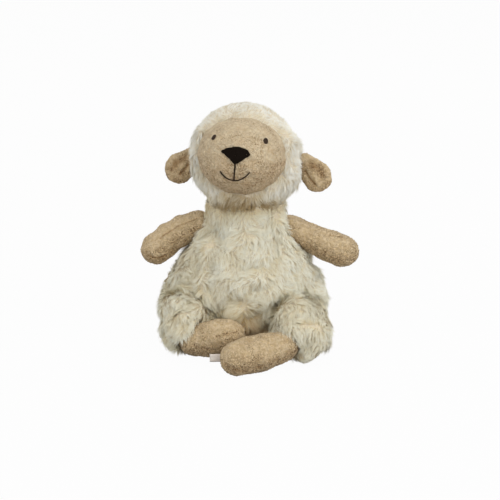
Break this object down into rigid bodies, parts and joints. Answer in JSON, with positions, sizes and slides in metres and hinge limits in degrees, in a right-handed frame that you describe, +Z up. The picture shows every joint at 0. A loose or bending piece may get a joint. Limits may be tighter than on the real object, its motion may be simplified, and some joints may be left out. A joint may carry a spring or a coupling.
{
  "type": "plush sheep",
  "caption": "Seated plush sheep: ivory long-pile body and hood, tan loop-fabric face, ears, arms and crossed feet, with a turning, nodding head.",
  "frame": {"origin": "on the flat seat base, on the neck axis, at the level of the surface the toy sits on", "axes": "+Z up through the neck, -Y the way the face looks, +X to the toy's left"},
  "size_m": [0.1979, 0.1647, 0.2198],
  "materials": {
    "fur_body": "long ivory pile, matt",
    "fur_hood": "shorter ivory pile, matt",
    "loop_fabric": "tan loop fabric, matt",
    "dark_thread": "near-black satin stitches, soft gloss",
    "brown_thread": "dark brown stitches",
    "wadding": "loose white fibre, hidden inside",
    "pellet_cloth": "plain cloth bag of pellets, hidden inside",
    "label_ribbon": "plain pale ribbon, blank"
  },
  "bodies": {
    "torso": {"body_front_panel": "fur_body", "body_back_panel": "fur_body", "seat_base_panel": "fur_body", "body_stuffing": "wadding", "seat_pellet_bag": "pellet_cloth"},
    "neck": {"neck_filling": "wadding"},
    "head": {"hood_front_panel": "fur_hood", "hood_back_panel": "fur_hood", "face_panel": "loop_fabric", "head_stuffing": "wadding", "nose_embroidery": "dark_thread", "eye_left_embroidery": "brown_thread", "eye_right_embroidery": "brown_thread", "mouth_centre_stitch": "brown_thread", "mouth_smile_stitch": "brown_thread"},
    "ear_left": {"ear_left_front_piece": "loop_fabric", "ear_left_back_piece": "loop_fabric"},
    "arm_left": {"arm_left_front_piece": "loop_fabric", "arm_left_back_piece": "loop_fabric", "arm_left_stuffing": "wadding"},
    "leg_left": {"leg_left_cover": "fur_body", "leg_left_stuffing": "wadding", "foot_left_upper": "loop_fabric", "foot_left_sole": "loop_fabric", "foot_left_stuffing": "wadding", "care_label": "label_ribbon"},
    "ear_right": {"ear_right_front_piece": "loop_fabric", "ear_right_back_piece": "loop_fabric"},
    "arm_right": {"arm_right_front_piece": "loop_fabric", "arm_right_back_piece": "loop_fabric", "arm_right_stuffing": "wadding"},
    "leg_right": {"leg_right_cover": "fur_body", "leg_right_stuffing": "wadding", "foot_right_upper": "loop_fabric", "foot_right_sole": "loop_fabric", "foot_right_stuffing": "wadding"}
  },
  "joints": [
    {"name": "head_turn", "type": "hinge", "parent": "torso", "child": "neck", "pos_m": [0, 0, 0.136], "axis": [0, 0, 1], "range_deg": [-40, 40]},
    {"name": "head_nod", "type": "hinge", "parent": "neck", "child": "head", "pos_m": [0, 0, 0.136], "axis": [0.9976, -0.0698, 0], "range_deg": [-10, 12]},
    {"name": "ear_left_flop", "type": "hinge", "parent": "head", "child": "ear_left", "pos_m": [0.05228, 0.00542, 0.16757], "axis": [-0.0689, -0.9853, 0.1564], "range_deg": [0, 40]},
    {"name": "ear_right_flop", "type": "hinge", "parent": "head", "child": "ear_right", "pos_m": [-0.04983, 0.01284, 0.16934], "axis": [0.0689, 0.9853, -0.1564], "range_deg": [0, 40]},
    {"name": "arm_left_raise", "type": "hinge", "parent": "torso", "child": "arm_left", "pos_m": [0.043, 0, 0.107], "axis": [0, -1, 0], "range_deg": [0, 30]},
    {"name": "arm_right_raise", "type": "hinge", "parent": "torso", "child": "arm_right", "pos_m": [-0.043, 0, 0.107], "axis": [0, 1, 0], "range_deg": [0, 30]},
    {"name": "leg_left_lift", "type": "hinge", "parent": "torso", "child": "leg_left", "pos_m": [0.048, -0.029, 0.027], "axis": [-1, 0, 0], "range_deg": [0, 20]},
    {"name": "leg_right_lift", "type": "hinge", "parent": "torso", "child": "leg_right", "pos_m": [-0.048, -0.029, 0.027], "axis": [-1, 0, 0], "range_deg": [0, 20]}
  ]
}
